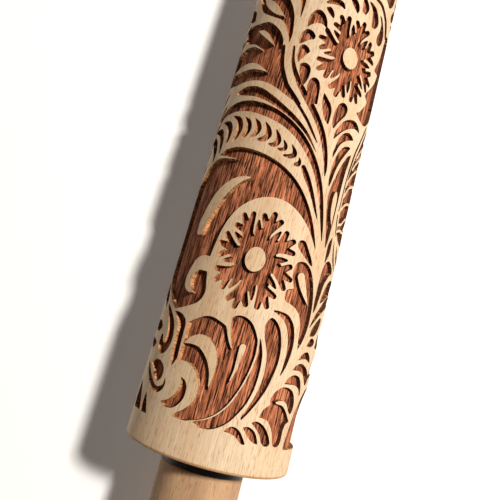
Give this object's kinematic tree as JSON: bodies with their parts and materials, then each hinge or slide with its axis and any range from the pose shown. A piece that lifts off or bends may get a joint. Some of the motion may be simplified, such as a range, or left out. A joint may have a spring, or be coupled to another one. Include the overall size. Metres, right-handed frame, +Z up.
{
  "type": "embossing rolling pin",
  "caption": "Cylindrical wooden barrel engraved with a floral relief, turning on a steel axle with ball bearings between two fixed dowel handles, for pressing a pattern into dough or clay.",
  "frame": {"origin": "centre of the barrel, on the axle's axis", "axes": "+X along the axle from the left handle to the right handle, +Z up, with the barrel lying level"},
  "size_m": [0.379, 0.05, 0.05],
  "materials": {
    "barrel_beech": "dry sanded beech with a laser-burnt relief",
    "handle_beech": "dry sanded beech dowel",
    "axle_steel": "turned steel",
    "race_steel": "ground bearing steel",
    "ball_steel": "polished",
    "shield_steel": "pressed sheet",
    "black_nylon": "moulded nylon",
    "cage_nylon": "moulded nylon",
    "insert_brass": "turned"
  },
  "bodies": {
    "axle": {"axle_rod": "axle_steel", "inner_race_left": "race_steel", "inner_race_right": "race_steel", "thrust_spacer_left": "axle_steel", "thrust_spacer_right": "axle_steel", "threaded_insert_left": "insert_brass", "threaded_insert_right": "insert_brass", "handle_left": "handle_beech", "handle_right": "handle_beech", "handle_ferrule_left": "black_nylon", "handle_ferrule_right": "black_nylon"},
    "barrel": {"engraved_barrel": "barrel_beech", "bearing_cup_left": "black_nylon", "bearing_cup_right": "black_nylon", "outer_race_left": "race_steel", "outer_race_right": "race_steel", "bearing_shields_left": "shield_steel", "bearing_shields_right": "shield_steel"},
    "balls_left": {"bearing_balls_left": "ball_steel", "ball_cage_left": "cage_nylon"},
    "balls_right": {"bearing_balls_right": "ball_steel", "ball_cage_right": "cage_nylon"}
  },
  "joints": [
    {"name": "barrel_spin", "type": "hinge", "parent": "axle", "child": "barrel", "pos_m": [0, 0, 0], "axis": [1, 0, 0], "continuous": true},
    {"name": "balls_left_spin", "type": "hinge", "parent": "axle", "child": "balls_left", "pos_m": [-0.0955, 0, 0], "axis": [1, 0, 0], "continuous": true},
    {"name": "balls_right_spin", "type": "hinge", "parent": "axle", "child": "balls_right", "pos_m": [0.0955, 0, 0], "axis": [1, 0, 0], "continuous": true}
  ],
  "couplings": [
    {"joint": "balls_left_spin", "follows": "barrel_spin", "ratio": 0.6323},
    {"joint": "balls_right_spin", "follows": "barrel_spin", "ratio": 0.6323}
  ]
}
